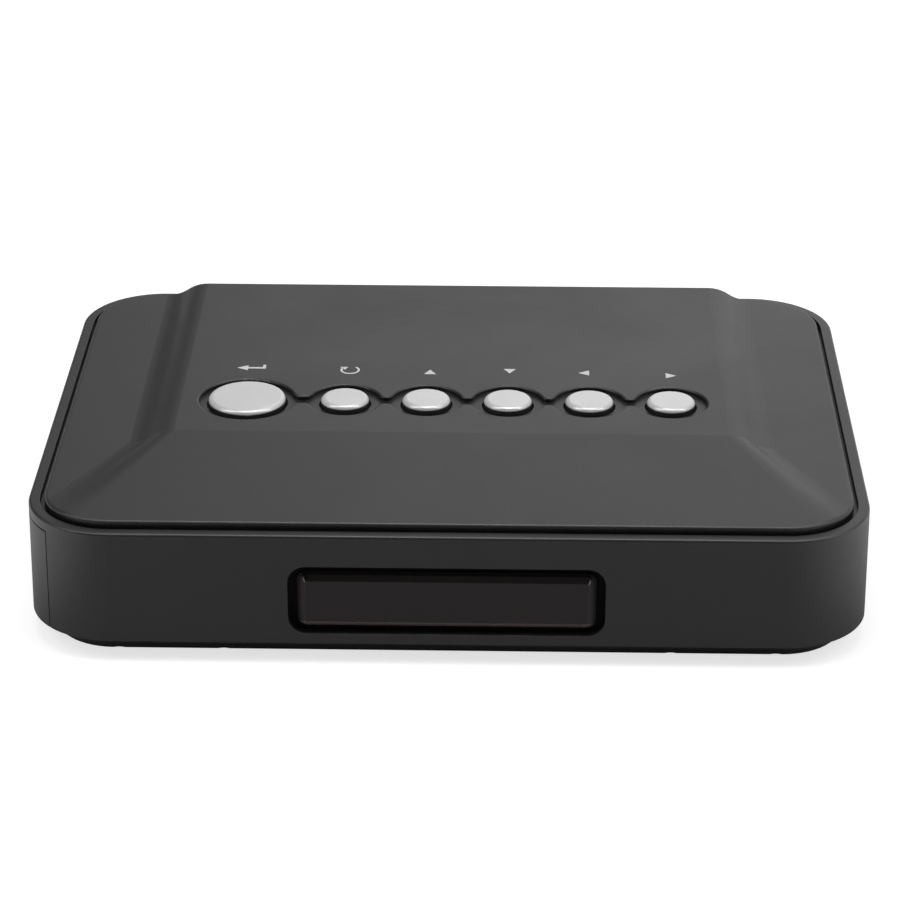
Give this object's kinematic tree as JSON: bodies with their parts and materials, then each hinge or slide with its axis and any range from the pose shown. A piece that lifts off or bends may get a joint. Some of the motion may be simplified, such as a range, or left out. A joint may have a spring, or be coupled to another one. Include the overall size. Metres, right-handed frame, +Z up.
{
  "type": "media player with hard drive tray",
  "caption": "Low rounded media player with round keys along its raised top, a dark infrared window in front and a sliding tray for a small hard drive.",
  "frame": {"origin": "under the middle of the case, on the plane that the rubber feet stand on", "axes": "+X to the right seen from the front, +Y from the front with the window to the back with the sockets, +Z up"},
  "size_m": [0.1284, 0.094, 0.025],
  "materials": {
    "black_shell": "fine matte texture",
    "tray_plastic": "smooth matte",
    "silver_key": "satin silver paint",
    "key_plunger": "smooth",
    "red_window": "polished, dark red-brown",
    "foot_rubber": "matte",
    "circuit_board": "satin solder mask",
    "black_moulding": "smooth",
    "chip_package": "fine matte",
    "screw_steel": "zinc plated",
    "sheet_steel": "rolled sheet",
    "cast_aluminium": "cast, satin",
    "can_metal": "drawn, satin",
    "ribbon_film": "satin film",
    "receiver_black": "polished",
    "lamp_lens": "clear, water white"
  },
  "bodies": {
    "case": {"case_frame": "black_shell", "bottom_pan": "black_shell", "top_cover": "black_shell", "front_tray_guide": "tray_plastic", "rear_tray_guide": "tray_plastic", "ir_window": "red_window", "rubber_feet": "foot_rubber", "key_board": "circuit_board", "main_board": "circuit_board", "sata_board": "circuit_board", "sata_socket": "black_moulding", "riser_header": "black_moulding", "ribbon_sockets": "black_moulding", "av_jack": "black_moulding", "dc_jack": "black_moulding", "processor": "chip_package", "memory_chips": "chip_package", "flash_chip": "chip_package", "inductor": "chip_package", "case_screws": "screw_steel", "guide_screws": "screw_steel", "shelf_screws": "screw_steel", "board_screws": "screw_steel", "board_standoffs": "screw_steel", "key_board_screws": "screw_steel", "bay_shelf": "sheet_steel", "usb_socket": "sheet_steel", "hdmi_socket": "sheet_steel", "key_switches": "sheet_steel", "heat_sink": "cast_aluminium", "capacitors": "can_metal", "clock_crystal": "can_metal", "ribbon_cable": "ribbon_film", "ir_receiver": "receiver_black", "status_led": "lamp_lens"},
    "tray": {"tray_bezel": "black_shell", "drive_tray": "tray_plastic", "bezel_screws": "screw_steel", "drive_screws": "screw_steel", "drive_base": "cast_aluminium", "drive_lid": "can_metal", "drive_board": "circuit_board", "drive_connector": "black_moulding"},
    "enter_key": {"enter_button": "silver_key", "enter_plunger": "key_plunger"},
    "return_key": {"return_button": "silver_key", "return_plunger": "key_plunger"},
    "up_key": {"up_button": "silver_key", "up_plunger": "key_plunger"},
    "down_key": {"down_button": "silver_key", "down_plunger": "key_plunger"},
    "left_key": {"left_button": "silver_key", "left_plunger": "key_plunger"},
    "right_key": {"right_button": "silver_key", "right_plunger": "key_plunger"}
  },
  "joints": [
    {"name": "tray_slide", "type": "slide", "parent": "case", "child": "tray", "axis": [-1, 0, 0], "range_m": [0, 0.1]},
    {"name": "enter_press", "type": "slide", "parent": "case", "child": "enter_key", "axis": [0, 0, -1], "range_m": [0, 0.00045], "stiffness_N_per_m": 2500},
    {"name": "return_press", "type": "slide", "parent": "case", "child": "return_key", "axis": [0, 0, -1], "range_m": [0, 0.00045], "stiffness_N_per_m": 2500},
    {"name": "up_press", "type": "slide", "parent": "case", "child": "up_key", "axis": [0, 0, -1], "range_m": [0, 0.00045], "stiffness_N_per_m": 2500},
    {"name": "down_press", "type": "slide", "parent": "case", "child": "down_key", "axis": [0, 0, -1], "range_m": [0, 0.00045], "stiffness_N_per_m": 2500},
    {"name": "left_press", "type": "slide", "parent": "case", "child": "left_key", "axis": [0, 0, -1], "range_m": [0, 0.00045], "stiffness_N_per_m": 2500},
    {"name": "right_press", "type": "slide", "parent": "case", "child": "right_key", "axis": [0, 0, -1], "range_m": [0, 0.00045], "stiffness_N_per_m": 2500}
  ]
}
